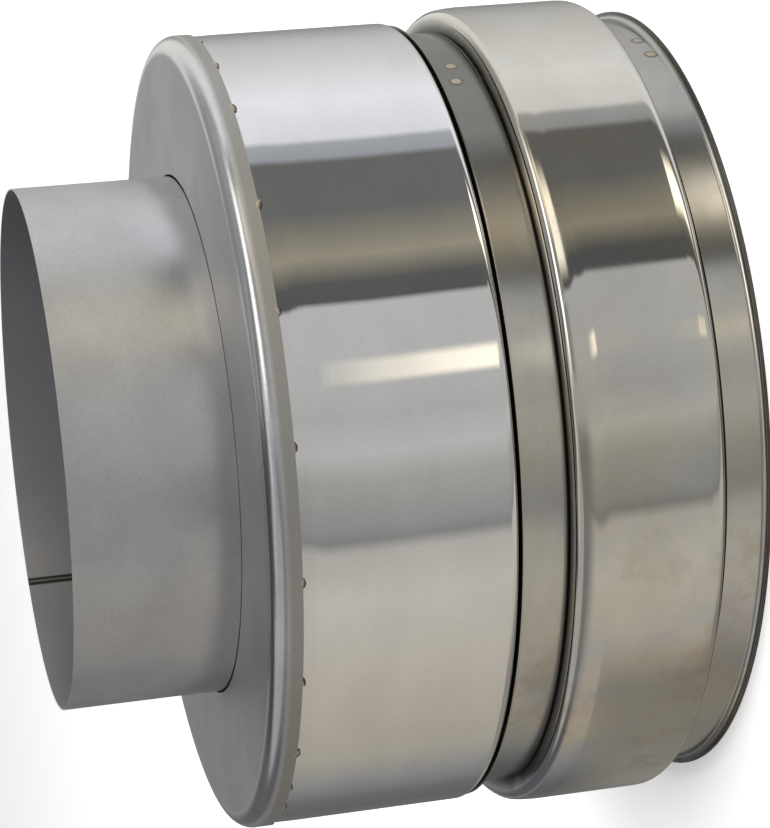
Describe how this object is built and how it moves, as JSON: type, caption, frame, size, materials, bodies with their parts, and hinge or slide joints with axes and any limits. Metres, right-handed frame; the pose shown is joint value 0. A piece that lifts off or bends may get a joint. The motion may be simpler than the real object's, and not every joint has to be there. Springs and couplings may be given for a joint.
{
  "type": "flue pipe adapter",
  "caption": "Insulated round flue adapter: single-wall spigot, flat end cap, polished twin-wall casing and a bulged coupling collar between two lipped clamp bands.",
  "frame": {"origin": "centre of the coupling end's rim plane, on the pipe axis; the adapter stands on this end", "axes": "+Z along the pipe axis from the coupling end to the spigot mouth; the band laps and their spot welds lie between +X and -Y"},
  "size_m": [0.3104, 0.3104, 0.2386],
  "materials": {
    "satin_stainless": "satin mill finish",
    "liner_stainless": "satin mill finish",
    "polished_stainless": "bright annealed",
    "tinted_stainless": "bright with light heat tint",
    "weld_metal": "brown fused metal",
    "mineral_wool": "matte fibre"
  },
  "bodies": {
    "root": {"spigot_tube": "satin_stainless", "inner_liner": "liner_stainless", "end_cap": "satin_stainless", "outer_casing": "polished_stainless", "coupling_collar": "polished_stainless", "front_band": "tinted_stainless", "rear_band": "tinted_stainless", "retaining_ring": "liner_stainless", "insulation": "mineral_wool", "cap_tack_welds": "weld_metal", "front_band_spot_welds": "weld_metal", "rear_band_spot_welds": "weld_metal"}
  },
  "joints": []
}
